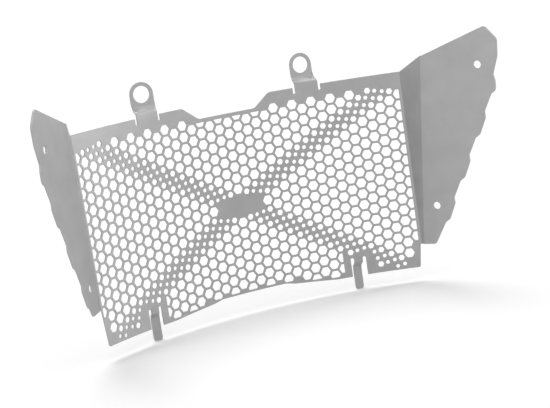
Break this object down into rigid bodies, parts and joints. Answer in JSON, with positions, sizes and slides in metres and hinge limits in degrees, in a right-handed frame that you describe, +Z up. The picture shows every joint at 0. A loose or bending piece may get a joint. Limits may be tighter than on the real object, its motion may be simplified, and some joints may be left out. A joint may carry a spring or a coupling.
{
  "type": "motorcycle radiator guard",
  "caption": "Perforated sheet guard with a curved grille, two folded side wings, upper eyelet tabs and lower tongues, fixed in front of a motorcycle radiator.",
  "frame": {"origin": "midway between the two upper eyelet holes, on the rear face of their tabs", "axes": "+X to the right as seen from in front of the motorcycle, +Y back towards the radiator along the eyelet holes, +Z up"},
  "size_m": [0.4056, 0.1282, 0.224],
  "materials": {
    "sheet": "satin"
  },
  "bodies": {
    "root": {"radiator_guard": "sheet"}
  },
  "joints": []
}
